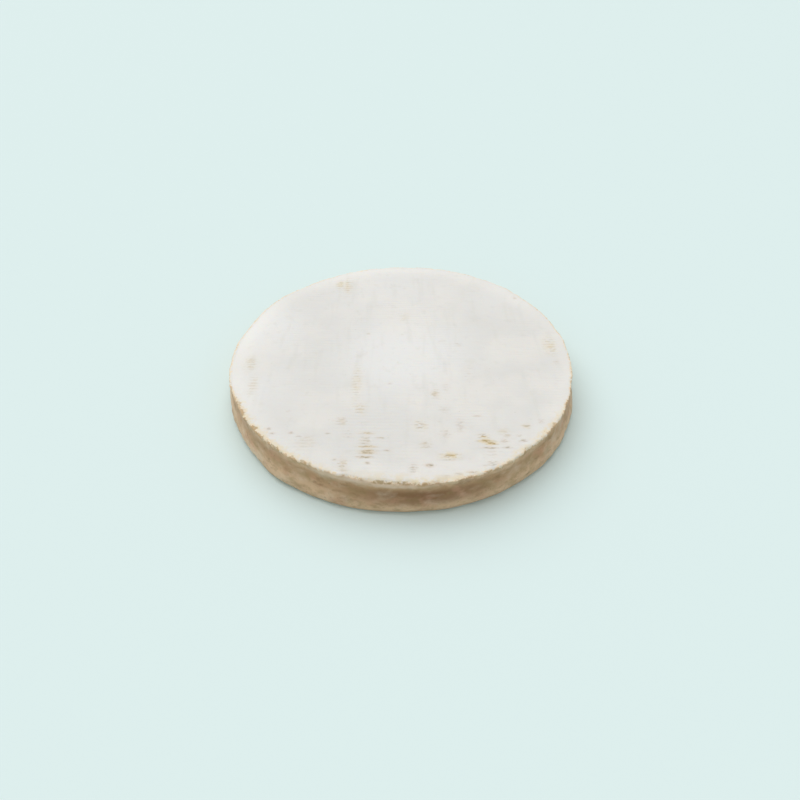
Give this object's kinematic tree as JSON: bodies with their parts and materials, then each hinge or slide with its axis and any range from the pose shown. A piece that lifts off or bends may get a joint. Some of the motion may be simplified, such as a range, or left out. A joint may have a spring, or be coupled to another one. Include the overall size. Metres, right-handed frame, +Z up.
{
  "type": "brie wheel",
  "caption": "Whole flat round of soft cheese with a white bloomy rind, a faint ribbed print on its face and a worn tan side.",
  "frame": {"origin": "middle of the wheel's outline, on the surface that it stands on", "axes": "+Z up, square to the two flat faces; X along the ridges of the ribbed print; -Y towards the front shown in the picture"},
  "size_m": [0.3696, 0.3704, 0.0375],
  "materials": {
    "rind": "white bloomy mould rind, matt and velvety, cream at the edge and tan on the side"
  },
  "bodies": {
    "root": {"brie_wheel": "rind"}
  },
  "joints": []
}
